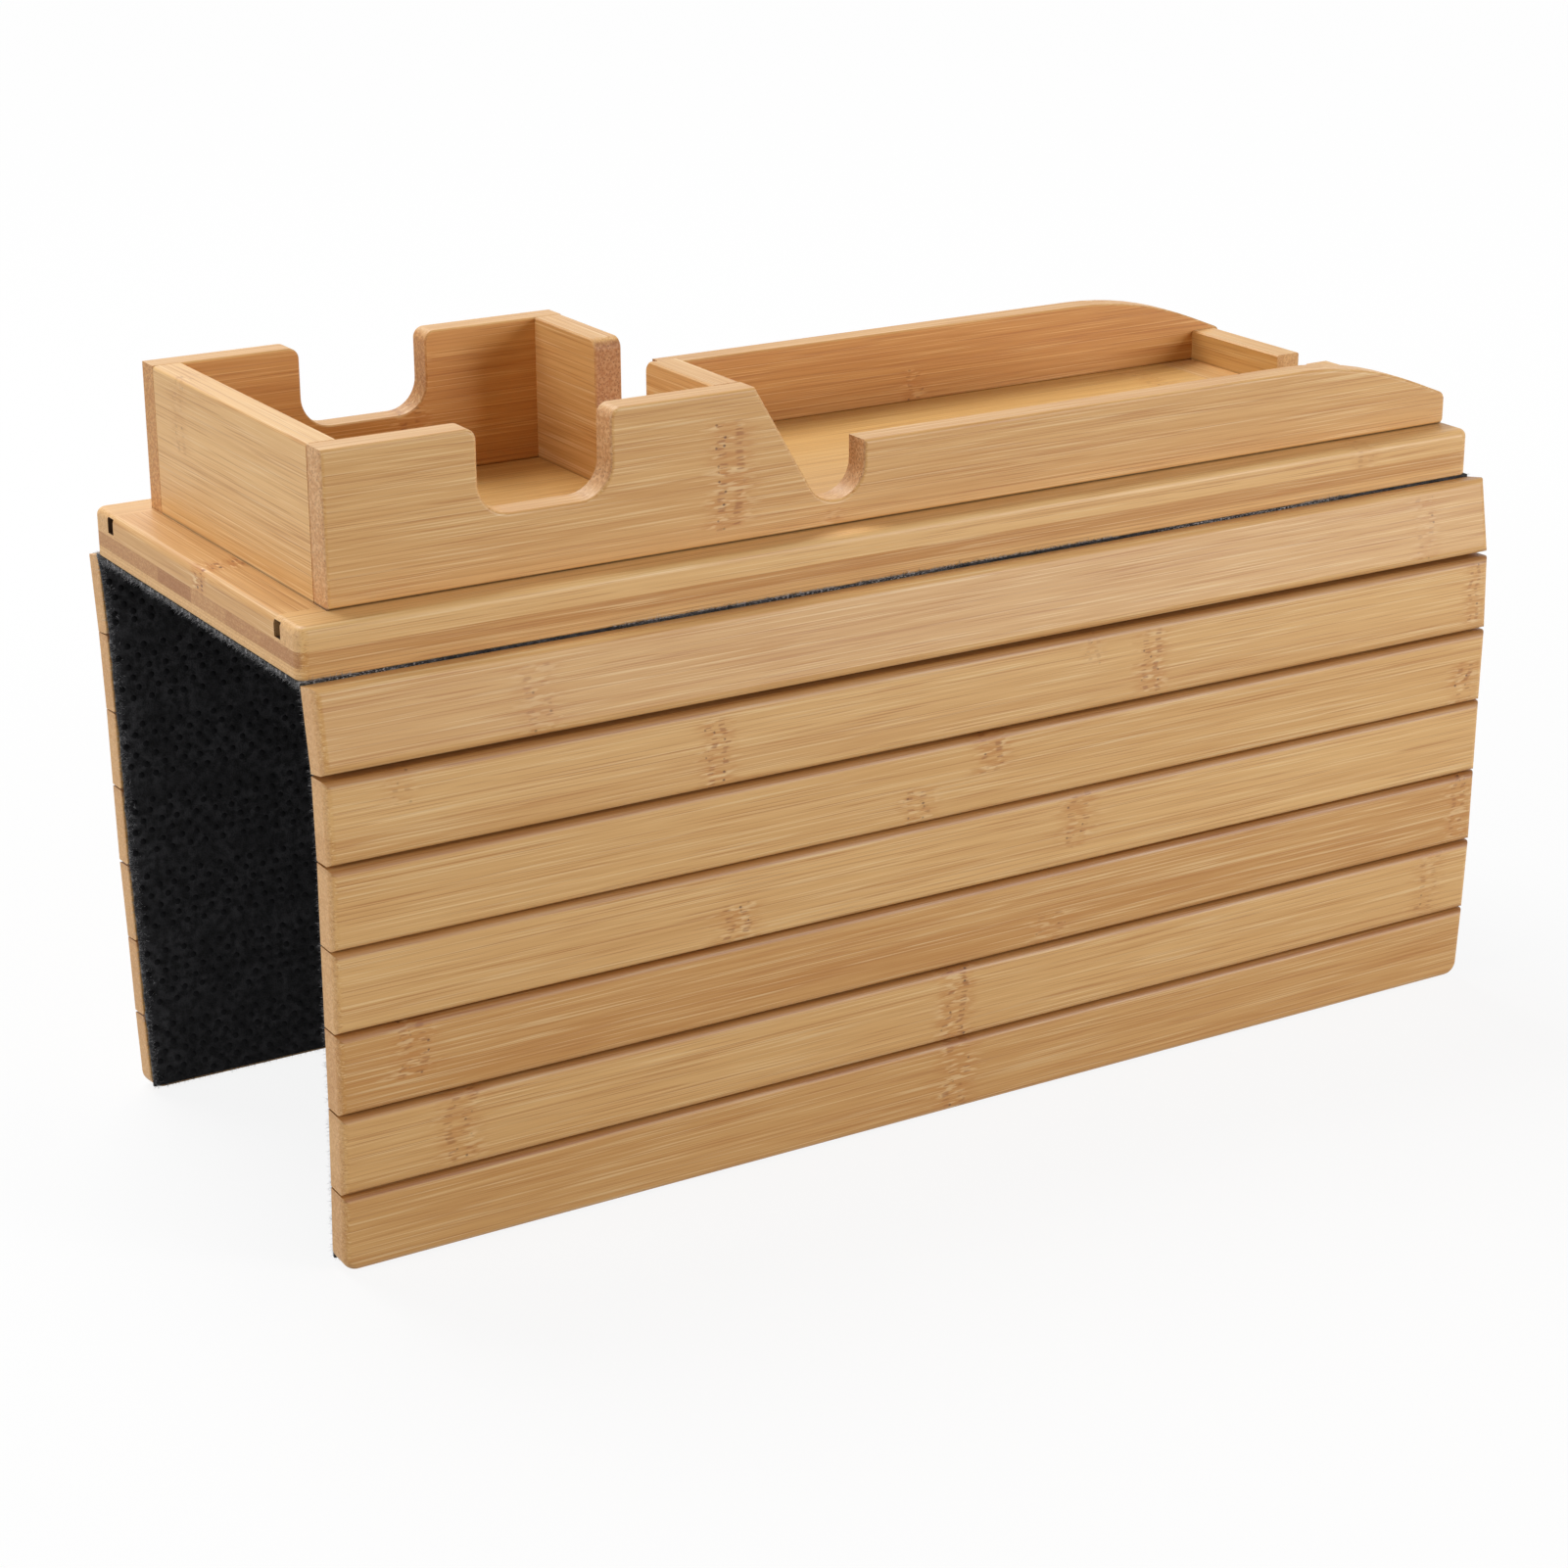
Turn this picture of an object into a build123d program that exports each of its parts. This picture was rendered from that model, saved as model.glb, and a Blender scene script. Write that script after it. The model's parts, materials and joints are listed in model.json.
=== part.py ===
from build123d import *
import os
from math import cos, radians, sin, tan

# Sofa arm tray in bamboo: a three-layer board with a low organiser frame on top, and two
# flaps of slats that hang from a felt sheet down the two sides of the sofa's arm.
# X runs along the tray, the front flap is at -Y, +Z is up, and the origin is the centre
# of the felt face that rests on the arm. All sizes are in millimetres.

# Board
board_length = 360.0
board_width = 130.0
top_ply = 6.0
core_ply = 4.0
bottom_ply = 3.0
board_corner_radius = 3.0
board_edge_radius = 2.0
board_lower_chamfer = 0.3
long_strip_width = 13.5
end_strip_width = 24.0
core_strip_count = 6

# Tongues and grooves of the board's top layer
groove_depth = 3.6
groove_height = 4.2
joint_slack = 0.1
tongue_setback = 3.0

# Organiser frame
stock = 8.0
frame_left_inset = 12.2
frame_right_inset = 1.6
rail_height = 39.0
low_rail_height = 21.3
rail_end_height = 8.7
rail_end_radius = 2.5
rail_foot_radius = 1.5
ramp_angle = 22.0
ramp_radius = 115.0
mug_notch_start = 40.6
mug_notch_width = 36.4
mug_notch_floor = 17.0
mug_notch_radius = 8.5
shoulder_radius = 3.0
phone_slot_start = 136.9
phone_slot_width = 13.6
phone_slot_floor = 6.8
phone_slot_round_share = 0.98
slope_angle = 30.2
outer_edge_radius = 1.0
inner_edge_chamfer = 0.4

# Wall and end panels between the rails
cup_wall_place = 110.1
cup_wall_notch_width = 27.2
cup_wall_notch_floor = 15.0
cup_wall_notch_radius = 8.0
end_panel_height = 9.0
end_panel_setback = 2.4
cable_notch_width = 13.0
cable_notch_floor = 3.0
cable_notch_radius = 2.0

# Tenons at the ends of the panels, and screws up into the rails
tenon_thickness = 4.0
tenon_length = 4.5
tenon_end_slack = 0.3
tenon_height_share = 0.6
screw_radius = 1.5
screw_head_radius = 3.0
screw_head_angle = 90.0
screw_length = 24.0
screw_sunk = 0.4
screw_drill_slack = 0.3
screw_place_shares = (0.08, 0.83)

# Flaps of slats
slat_count = 7
slat_width = 21.0
slat_thickness = 7.5
slat_gap = 0.45
fold_gap = 0.7
slat_edge_radius = 2.0
slat_inner_chamfer = 0.25
flap_corner_radius = 4.0
front_tilts = (10.0, 2.0, -1.0, -0.5, -0.5, -2.5, -3.5)
back_tilts = (-8.0, -4.5, -2.0, -2.5, -6.0, -4.5, -6.5)

# Felt, and how far the fold lines let the flaps bend
felt_thickness = 2.0
felt_end_inset = 0.2
felt_bottom_inset = 2.5
fold_seam = 0.1
flap_fold_angle = 105.0
slat_fold_angle = 22.0
fold_slack_angle = 3.0

# Levels, from the felt up
board_bottom = felt_thickness
core_bottom = board_bottom + bottom_ply
top_bottom = core_bottom + core_ply
board_top = top_bottom + top_ply
tongue_height = groove_height - 2 * joint_slack
tongue_length = groove_depth - joint_slack
groove_bottom = top_bottom + (top_ply - groove_height) / 2
tongue_bottom = groove_bottom + joint_slack

# Places along the frame, whose rails stand over the seams beside the long strips
frame_left = frame_left_inset - board_length / 2
rail_length = board_length - frame_left_inset - frame_right_inset
cross_width = board_width - 2 * long_strip_width
rail_centre = cross_width / 2
frame_width = cross_width + stock
inner_width = cross_width - stock
end_panel_place = rail_length - end_panel_setback - stock
panel_length = board_length - 2 * end_strip_width
flap_reach = board_width / 2

os.makedirs("parts", exist_ok=True)


# Every finished sub-part is written the same way
def save(solid, name):
    solid.label = name
    export_step(solid, f"parts/{name}.step")


# Screw places in the rails, as seen from above
screw_places = [
    (frame_left + share * rail_length, side * rail_centre)
    for side in (-1, 1)
    for share in screw_place_shares
]


# Round holes for the screw shanks through one layer of the board
def screw_holes(level):
    with BuildSketch(Plane.XY.offset(level)) as holes:
        with Locations(*screw_places):
            Circle(screw_radius + screw_drill_slack)
    return holes.sketch


# The rounded outline of the board as one slab, for a layer's pieces to be cut from
def board_slab(level, height):
    with BuildPart() as slab:
        with BuildSketch(Plane.XY.offset(level)):
            RectangleRounded(board_length, board_width, board_corner_radius)
        extrude(amount=height)
    return slab.part


# The top layer's slab with its worn upper edge
with BuildPart() as top_slab:
    add(board_slab(top_bottom, top_ply))
    fillet(top_slab.faces().sort_by(Axis.Z)[-1].edges(), board_edge_radius)

# Long strips of the top layer, with the groove that shows on the end faces
with BuildPart() as board_front_strip:
    add(top_slab.part)
    with BuildSketch(Plane.XY.offset(top_bottom)):
        with Locations((0, (long_strip_width - board_width) / 2)):
            Rectangle(board_length, long_strip_width)
    extrude(amount=top_ply, mode=Mode.INTERSECT)
    with BuildSketch(Plane.XY.offset(groove_bottom)):
        with Locations((0, long_strip_width - (board_width + groove_depth) / 2)):
            Rectangle(board_length, groove_depth)
    extrude(amount=groove_height, mode=Mode.SUBTRACT)
    extrude(screw_holes(top_bottom), amount=top_ply, mode=Mode.SUBTRACT)
save(board_front_strip.part, "board_front_strip")

with BuildPart() as board_back_strip:
    mirror(board_front_strip.part, about=Plane.XZ)
save(board_back_strip.part, "board_back_strip")

# Cross strips of the top layer, tongued into the long strips and grooved for the panel
strip_centre = (end_strip_width - board_length) / 2
tongue_run = end_strip_width - tongue_setback
with BuildPart() as board_left_end_strip:
    add(top_slab.part)
    with BuildSketch(Plane.XY.offset(top_bottom)):
        with Locations((strip_centre, 0)):
            Rectangle(end_strip_width, cross_width)
    extrude(amount=top_ply, mode=Mode.INTERSECT)
    with BuildSketch(Plane.XY.offset(groove_bottom)):
        with Locations((strip_centre + (end_strip_width - groove_depth) / 2, 0)):
            Rectangle(groove_depth, cross_width)
    extrude(amount=groove_height, mode=Mode.SUBTRACT)
    with BuildSketch(Plane.XY.offset(tongue_bottom)):
        with Locations(
            *[
                (strip_centre + tongue_setback / 2, side * (cross_width + tongue_length) / 2)
                for side in (-1, 1)
            ]
        ):
            Rectangle(tongue_run, tongue_length)
    extrude(amount=tongue_height)
save(board_left_end_strip.part, "board_left_end_strip")

with BuildPart() as board_right_end_strip:
    mirror(board_left_end_strip.part, about=Plane.YZ)
save(board_right_end_strip.part, "board_right_end_strip")

# Centre panel, tongued on all four sides
with BuildPart() as board_panel:
    with BuildSketch(Plane.XY.offset(top_bottom)):
        Rectangle(panel_length, cross_width)
    extrude(amount=top_ply)
    with BuildSketch(Plane.XY.offset(tongue_bottom)):
        Rectangle(panel_length + 2 * tongue_length, cross_width)
        Rectangle(panel_length, cross_width + 2 * tongue_length)
    extrude(amount=tongue_height)
    extrude(screw_holes(top_bottom), amount=top_ply, mode=Mode.SUBTRACT)
save(board_panel.part, "board_panel")

# Core strips, side by side across the board
core_strip_width = board_width / core_strip_count
for number in range(core_strip_count):
    strip_y = (number + 0.5) * core_strip_width - board_width / 2
    with BuildPart() as core_strip:
        add(board_slab(core_bottom, core_ply))
        with BuildSketch(Plane.XY.offset(core_bottom)):
            with Locations((0, strip_y)):
                Rectangle(board_length, core_strip_width)
        extrude(amount=core_ply, mode=Mode.INTERSECT)
        extrude(screw_holes(core_bottom), amount=core_ply, mode=Mode.SUBTRACT)
    save(core_strip.part, f"board_core_{number + 1}")

# Bottom layer, countersunk from below for the screws
with BuildPart() as board_bottom_ply:
    add(board_slab(board_bottom, bottom_ply))
    chamfer(board_bottom_ply.faces().sort_by(Axis.Z)[0].edges(), board_lower_chamfer)
    with Locations(*[Plane(origin=(x, y, board_bottom), z_dir=(0, 0, -1)) for x, y in screw_places]):
        CounterSinkHole(
            radius=screw_radius + screw_drill_slack,
            counter_sink_radius=screw_head_radius + screw_sunk * tan(radians(screw_head_angle / 2)),
            counter_sink_angle=screw_head_angle,
        )
save(board_bottom_ply.part, "board_bottom_ply")

# The rail's outline, from its lower left corner round by the top: place, height, radius
mug_notch_end = mug_notch_start + mug_notch_width
phone_slot_end = phone_slot_start + phone_slot_width
phone_slot_radius = (
    phone_slot_round_share * phone_slot_width / (1 + tan(radians(90 - slope_angle) / 2))
)
slope_start = phone_slot_start - (rail_height - phone_slot_floor) * tan(radians(slope_angle))
ramp_start = rail_length - (low_rail_height - rail_end_height) / tan(radians(ramp_angle))
rail_outline = [
    (0, 0, 0),
    (0, rail_height, 0),
    (mug_notch_start, rail_height, shoulder_radius),
    (mug_notch_start, mug_notch_floor, mug_notch_radius),
    (mug_notch_end, mug_notch_floor, mug_notch_radius),
    (mug_notch_end, rail_height, shoulder_radius),
    (slope_start, rail_height, 0),
    (phone_slot_start, phone_slot_floor, phone_slot_radius),
    (phone_slot_end, phone_slot_floor, phone_slot_radius),
    (phone_slot_end, low_rail_height, 0),
    (ramp_start, low_rail_height, ramp_radius),
    (rail_length, rail_end_height, rail_end_radius),
    (rail_length, 0, rail_foot_radius),
]


# Where the tenons of the given panels meet the front rail, grown by a slack for mortises
def tenon_ends(panels, slack):
    with BuildSketch(Plane.XZ.offset(inner_width / 2)) as ends:
        for place, height in panels:
            with Locations((frame_left + place + stock / 2, board_top + height / 2)):
                Rectangle(tenon_thickness + 2 * slack, tenon_height_share * height + 2 * slack)
    return ends.sketch


# Place along the rail and height of each panel between the rails
left_end = (0, rail_height)
middle = (cup_wall_place, rail_height)
right_end = (end_panel_place, end_panel_height)

# Long rails, cut to one outline, softened along every edge and mortised for the panels
with BuildPart() as front_rail:
    with BuildSketch(Plane.XZ.offset(frame_width / 2)):
        with BuildLine():
            FilletPolyline(
                *[(frame_left + x, board_top + z) for x, z, radius in rail_outline],
                radius=[radius for x, z, radius in rail_outline],
                close=True,
            )
        make_face()
    extrude(amount=-stock)
    fillet(front_rail.faces().sort_by(Axis.Y)[0].edges(), outer_edge_radius)
    chamfer(front_rail.faces().sort_by(Axis.Y)[-1].edges(), inner_edge_chamfer)
    extrude(
        tenon_ends([left_end, middle, right_end], joint_slack),
        amount=tenon_length + tenon_end_slack,
        mode=Mode.SUBTRACT,
    )
    with BuildSketch(Plane.XY.offset(board_top)):
        with Locations(*screw_places):
            Circle(screw_radius)
    extrude(amount=screw_length + board_bottom - board_top, mode=Mode.SUBTRACT)
save(front_rail.part, "front_rail")

with BuildPart() as back_rail:
    mirror(front_rail.part, about=Plane.XZ)
save(back_rail.part, "back_rail")

# Full-height end panel at the mug bay
with BuildPart() as left_end_panel:
    with BuildSketch(Plane.YZ.offset(frame_left)):
        with Locations((0, board_top + rail_height / 2)):
            Rectangle(inner_width, rail_height)
    extrude(amount=stock)
    outer_top, inner_top = left_end_panel.edges().filter_by(Axis.Y).group_by(Axis.Z)[-1].sort_by(Axis.X)
    fillet(outer_top, outer_edge_radius)
    chamfer(inner_top, inner_edge_chamfer)
    extrude(tenon_ends([left_end], 0), amount=tenon_length)
    mirror(about=Plane.XZ)
save(left_end_panel.part, "left_end_panel")

# Wall between the two bays, with its notch open at the top
with BuildPart() as cup_wall:
    with BuildSketch(Plane.YZ.offset(frame_left + cup_wall_place)) as wall_outline:
        with Locations((0, board_top + rail_height / 2)):
            Rectangle(inner_width, rail_height)
        with Locations((0, board_top + rail_height)):
            Rectangle(
                cup_wall_notch_width,
                2 * (rail_height - cup_wall_notch_floor),
                mode=Mode.SUBTRACT,
            )
        fillet(wall_outline.vertices().group_by(Axis.Y)[1], cup_wall_notch_radius)
        shoulders = wall_outline.vertices().group_by(Axis.Y)[-1].sort_by(Axis.X)[1:-1]
        fillet(shoulders, shoulder_radius)
    extrude(amount=stock)
    for face in (cup_wall.faces().sort_by(Axis.X)[0], cup_wall.faces().sort_by(Axis.X)[-1]):
        between_rails = face.edges().filter_by_position(
            Axis.Y, -inner_width / 2, inner_width / 2, inclusive=(False, False)
        )
        chamfer(between_rails.sort_by(Axis.Z)[1:], inner_edge_chamfer)
    extrude(tenon_ends([middle], 0), amount=tenon_length)
    mirror(about=Plane.XZ)
save(cup_wall.part, "cup_wall")

# Low end panel with the cable notch
with BuildPart() as right_end_panel:
    with BuildSketch(Plane.YZ.offset(frame_left + end_panel_place)) as panel_outline:
        with Locations((0, board_top + end_panel_height / 2)):
            Rectangle(inner_width, end_panel_height)
        with Locations((0, board_top + end_panel_height)):
            Rectangle(
                cable_notch_width,
                2 * (end_panel_height - cable_notch_floor),
                mode=Mode.SUBTRACT,
            )
        fillet(panel_outline.vertices().group_by(Axis.Y)[1], cable_notch_radius)
    extrude(amount=stock)
    top_edges = right_end_panel.edges().filter_by(Axis.Y).group_by(Axis.Z)[-1]
    chamfer(top_edges, inner_edge_chamfer)
    extrude(tenon_ends([right_end], 0), amount=tenon_length)
    mirror(about=Plane.XZ)
save(right_end_panel.part, "right_end_panel")

# Screws from below, their heads seated in the bottom layer and covered by the felt
head_level = board_bottom + screw_sunk
neck_level = head_level + (screw_head_radius - screw_radius) / tan(radians(screw_head_angle / 2))
with BuildPart() as frame_screws:
    for screw_x, screw_y in screw_places:
        with BuildSketch(Plane(origin=(screw_x, screw_y, 0), x_dir=(1, 0, 0), z_dir=(0, -1, 0))):
            with BuildLine():
                Polyline(
                    (0, head_level),
                    (screw_head_radius, head_level),
                    (screw_radius, neck_level),
                    (screw_radius, board_bottom + screw_length),
                    (0, board_bottom + screw_length),
                    close=True,
                )
            make_face()
        revolve(axis=Axis((screw_x, screw_y, 0), (0, 0, 1)))
save(frame_screws.part, "frame_screws")

# Felt under the board, mitred along both fold lines
flap_mitre = tan(radians(flap_fold_angle / 2 + fold_slack_angle))
slat_mitre = tan(radians(slat_fold_angle / 2 + fold_slack_angle))
felt_length = board_length - 2 * felt_end_inset
with BuildPart() as board_felt:
    with BuildSketch(Plane.YZ):
        with BuildLine():
            Polyline(
                (-flap_reach + fold_seam, felt_thickness),
                (flap_reach - fold_seam, felt_thickness),
                (flap_reach - fold_seam - felt_thickness * flap_mitre, 0),
                (-flap_reach + fold_seam + felt_thickness * flap_mitre, 0),
                close=True,
            )
        make_face()
    extrude(amount=felt_length / 2, both=True)
save(board_felt.part, "board_felt")


# The plane of a slat's cross-section: x outwards from the felt, y down along the slat,
# with its origin on the fold line above the slat
def section_plane(fold, side, tilt):
    lean = radians(tilt)
    return Plane(
        origin=(0, fold[0], fold[1]),
        x_dir=(0, side * cos(lean), sin(lean)),
        z_dir=(-side, 0, 0),
    )


# One slat: its outer face rounded on all four sides, its last corners rounded more
def slat_solid(section, start, last):
    with BuildPart() as slat:
        with BuildSketch(section):
            with Locations((slat_thickness / 2, start + slat_width / 2)):
                Rectangle(slat_thickness, slat_width)
        extrude(amount=board_length / 2, both=True)
        across = Axis(section.origin, section.x_dir)
        down = Axis(section.origin, section.y_dir)
        if last:
            corners = slat.edges().filter_by(across).group_by(down)[-1]
            fillet(corners, flap_corner_radius)
        inner_face = slat.faces().sort_by(across)[0]
        outer_face = slat.faces().sort_by(across)[-1]
        fillet(outer_face.edges(), slat_edge_radius)
        chamfer(inner_face.edges(), slat_inner_chamfer)
    return slat.part


# The felt behind one slat, mitred so that it can fold inwards at both ends
def felt_solid(section, start, end, start_mitre, end_mitre):
    with BuildPart() as felt:
        with BuildSketch(section):
            with BuildLine():
                Polyline(
                    (0, start),
                    (0, end),
                    (-felt_thickness, end - felt_thickness * end_mitre),
                    (-felt_thickness, start + felt_thickness * start_mitre),
                    close=True,
                )
            make_face()
        extrude(amount=felt_length / 2, both=True)
    return felt.part


# A flap: each slat hangs from the fold line below the one before
def build_flap(flap, side, tilts):
    fold = (side * flap_reach, board_bottom)
    for number, tilt in enumerate(tilts, start=1):
        first = number == 1
        last = number == slat_count
        section = section_plane(fold, side, tilt)
        start = fold_gap if first else slat_gap / 2
        fold_run = start + slat_width + slat_gap / 2
        save(slat_solid(section, start, last), f"{flap}_slat_{number}")
        felt_end = fold_run - felt_bottom_inset if last else fold_run - fold_seam
        save(
            felt_solid(
                section,
                fold_seam,
                felt_end,
                flap_mitre if first else slat_mitre,
                0 if last else slat_mitre,
            ),
            f"{flap}_felt_{number}",
        )
        lean = radians(tilt)
        fold = (fold[0] + side * fold_run * sin(lean), fold[1] - fold_run * cos(lean))
        print(f"{flap} fold below slat {number}: y {fold[0]:.3f} z {fold[1]:.3f}")


build_flap("front", -1, front_tilts)
build_flap("back", 1, back_tilts)
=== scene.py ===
"""Looks of the sofa arm tray: bamboo board, organiser frame and slats, and the felt that joins them."""

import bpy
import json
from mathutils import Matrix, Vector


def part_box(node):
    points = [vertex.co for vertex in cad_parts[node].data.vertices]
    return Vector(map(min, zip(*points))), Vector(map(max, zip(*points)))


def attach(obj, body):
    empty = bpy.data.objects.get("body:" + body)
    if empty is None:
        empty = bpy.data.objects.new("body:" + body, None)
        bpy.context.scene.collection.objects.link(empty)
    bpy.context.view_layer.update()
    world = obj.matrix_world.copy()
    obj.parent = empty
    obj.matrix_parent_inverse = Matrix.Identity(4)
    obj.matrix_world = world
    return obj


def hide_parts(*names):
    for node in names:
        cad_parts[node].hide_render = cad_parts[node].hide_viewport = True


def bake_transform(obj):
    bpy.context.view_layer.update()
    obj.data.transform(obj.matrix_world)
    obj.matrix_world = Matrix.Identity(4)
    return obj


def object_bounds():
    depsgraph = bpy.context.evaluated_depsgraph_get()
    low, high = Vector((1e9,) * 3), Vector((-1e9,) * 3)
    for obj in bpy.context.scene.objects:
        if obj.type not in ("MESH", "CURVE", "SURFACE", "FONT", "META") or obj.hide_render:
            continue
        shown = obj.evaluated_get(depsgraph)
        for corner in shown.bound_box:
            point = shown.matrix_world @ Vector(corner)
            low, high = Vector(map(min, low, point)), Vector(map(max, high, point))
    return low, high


bl_info = {
    "name": "Sofa Arm Tray",
    "version": (1, 0, 0),
    "blender": (4, 5, 0),
    "location": "View3D > Sidebar > Sofa Arm Tray",
    "description": "Finishes a bamboo sofa arm tray and its felt around the packed model",
    "category": "Object",
}

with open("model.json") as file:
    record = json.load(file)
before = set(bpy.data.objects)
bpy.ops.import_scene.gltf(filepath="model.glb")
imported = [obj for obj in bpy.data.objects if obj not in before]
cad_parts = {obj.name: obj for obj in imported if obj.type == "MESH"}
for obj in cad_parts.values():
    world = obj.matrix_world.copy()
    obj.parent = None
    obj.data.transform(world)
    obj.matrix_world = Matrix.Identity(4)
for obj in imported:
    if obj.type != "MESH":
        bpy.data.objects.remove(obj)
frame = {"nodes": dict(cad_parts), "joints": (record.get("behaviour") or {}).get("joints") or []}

import json
import math
import random

import bmesh
import bpy
from mathutils import Matrix, Vector

CAD_BOX = [list(corner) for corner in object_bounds()]
MM = 0.001

# Which object axes give the grain, the width and the thickness of each group of pieces
GRAIN_ALONG = {"slat": "XZY", "rail": "XZY", "board": "XYZ", "end": "YXZ", "panel": "YZX"}

# Each bamboo piece: axes, depth of its brown, width of its glued strips in mm, end grain's share
PIECES = {
    "board_front_strip": ("board", 0.10, 40, 0.35),
    "board_back_strip": ("board", 0.20, 40, 0.35),
    "board_left_end_strip": ("end", 0.46, 24, 0.35),
    "board_right_end_strip": ("end", 0.38, 24, 0.35),
    "board_panel": ("board", 0.38, 20, 0.35),
    "board_bottom_ply": ("rail", 0.22, 0.9, 0.1),
    "front_rail": ("rail", 0.51, 44, 0.85),
    "back_rail": ("rail", 0.66, 44, 0.85),
    "left_end_panel": ("panel", 0.18, 44, 0.5),
    "cup_wall": ("panel", 0.35, 44, 0.95),
    "right_end_panel": ("panel", 0.42, 44, 0.5),
    "front_slat_1": ("slat", 0.42, 12, 0.4),
    "front_slat_2": ("slat", 0.40, 12, 0.4),
    "front_slat_3": ("slat", 0.34, 10, 0.4),
    "front_slat_4": ("slat", 0.34, 12, 0.4),
    "front_slat_5": ("slat", 0.74, 12, 0.4),
    "front_slat_6": ("slat", 0.44, 12, 0.4),
    "front_slat_7": ("slat", 0.58, 12, 0.4),
    "back_slat_1": ("slat", 0.44, 12, 0.4),
    "back_slat_2": ("slat", 0.60, 12, 0.4),
    "back_slat_3": ("slat", 0.36, 12, 0.4),
    "back_slat_4": ("slat", 0.48, 12, 0.4),
    "back_slat_5": ("slat", 0.38, 12, 0.4),
    "back_slat_6": ("slat", 0.66, 12, 0.4),
    "back_slat_7": ("slat", 0.46, 12, 0.4),
}
CORE_LOOK = ("rail", 0.82, 1.3, 0.4)

# How brown the end grain of these pieces is
END_SHADE_OF = {
    "board_core_1": 0.8,
    "board_core_2": 0.65,
    "board_core_3": 0.4,
    "board_core_4": 1.0,
    "board_core_5": 0.5,
    "board_core_6": 0.55,
    "cup_wall": 0.85,
}

# Painted shade and warm bounce light on the upright sides of these pieces; on the board's panel a golden tint all
# over, partly its own tone and partly painted bounce light
PAINTED_BOUNCE_TINT = {
    "back_rail": (0.90, 0.80, 0.62, 1),
    "right_end_panel": (0.88, 0.88, 0.78, 1),
    "board_panel": (1.0, 0.98, 0.78, 1),
}

# How dark the painted shadow line is where these pieces stand on the board
PAINTED_FOOT_SHADOW = {
    "front_rail": 0.85,
    "back_rail": 0.3,
    "left_end_panel": 0.6,
    "cup_wall": 0.3,
    "right_end_panel": 0.25,
}

# Growth rings: mm along the grain, share of the width from and to, mm wide, strength
MARKS = {
    "front_rail": ((-57.4, 0.10, 0.80, 9, 0.9), (-25.6, 0.0, 0.12, 5, 0.5)),
    "back_rail": ((66.6, 0.0, 0.24, 6, 0.7), (-96.0, 0.3, 1.0, 8, 0.8)),
    "left_end_panel": ((31.0, 0.5, 1.0, 7, 0.35),),
    "cup_wall": ((-34.0, 0.0, 0.45, 7, 0.4),),
    "board_panel": ((140.5, 0.7, 0.95, 7, 0.5), (-24.0, 0.1, 0.35, 8, 0.6), (52.0, 0.4, 0.6, 8, 0.6)),
    "board_front_strip": ((141.8, 0.0, 0.9, 7, 0.4),),
    "board_left_end_strip": ((-5.4, 0.0, 0.5, 6, 1.3),),
    "board_back_strip": ((-70.0, 0.0, 1.0, 7, 0.5),),
    "front_slat_1": ((-122.5, 0.05, 0.85, 9, 0.55), (156.4, 0.1, 0.9, 7, 0.5)),
    "front_slat_2": (
        (-73.8, 0.05, 0.85, 7, 0.95),
        (-160.1, 0.6, 1.0, 6, 0.45),
        (60.6, 0.1, 0.9, 7, 0.85),
        (41.7, 0.6, 1.0, 5, 0.35),
        (174.3, 0.1, 0.95, 5, 0.7),
    ),
    "front_slat_3": (
        (-13.7, 0.0, 0.5, 8, 0.75),
        (8.8, 0.5, 1.0, 8, 0.9),
        (172.4, 0.0, 0.6, 7, 0.85),
    ),
    "front_slat_4": ((-69.6, 0.0, 0.5, 9, 0.95), (37.3, 0.25, 0.95, 8, 0.8)),
    "front_slat_5": (
        (28.7, 0.0, 0.42, 10, 0.6),
        (-159.4, 0.3, 1.0, 9, 0.8),
        (174.6, 0.1, 1.0, 6, 0.8),
    ),
    "front_slat_6": (
        (-0.2, 0.0, 1.0, 8, 0.9),
        (-147.9, 0.1, 1.0, 9, 0.75),
        (164.8, 0.05, 0.95, 8, 0.5),
    ),
    "front_slat_7": ((0.3, 0.0, 1.0, 9, 0.8),),
    "back_slat_1": ((-88.0, 0.0, 1.0, 8, 0.7), (109.0, 0.4, 1.0, 7, 0.7)),
    "back_slat_2": ((21.0, 0.0, 0.5, 8, 0.9), (-141.0, 0.5, 1.0, 7, 0.6)),
    "back_slat_3": ((-31.0, 0.0, 1.0, 9, 0.8), (152.0, 0.0, 0.5, 8, 0.8)),
    "back_slat_4": ((73.0, 0.5, 1.0, 8, 0.8), (-118.0, 0.0, 0.9, 8, 0.6)),
    "back_slat_5": ((-6.0, 0.0, 0.9, 7, 0.6),),
    "back_slat_6": ((-62.0, 0.0, 0.5, 9, 0.8), (128.0, 0.2, 1.0, 8, 0.8)),
    "back_slat_7": ((44.0, 0.0, 1.0, 8, 0.9), (-160.0, 0.5, 1.0, 6, 0.5)),
}

# The grooves beside the board's end strips, in mm from its middle
GROOVE_FROM, GROOVE_TO = 51.55, 55.2
GROOVE_HALF_HEIGHT = 2.15
GROOVE_END = 179.9

# Felt: where the middle sheet ends, and the last slat's lean inwards
BOARD_SEAM = 44.0
FIRST_FOLD = 65.0
LAST_LEANS = {"front": 3.5, "back": 6.5}
LAST_FELT_RUN = 20.4
SLAT_COUNT = 7
CORE_COUNT = 6
CRISP_ANGLE = 50
EDGE_ROWS = (0.5, 1.4)


# ---------------------------------------------------------------- shader graph


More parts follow.
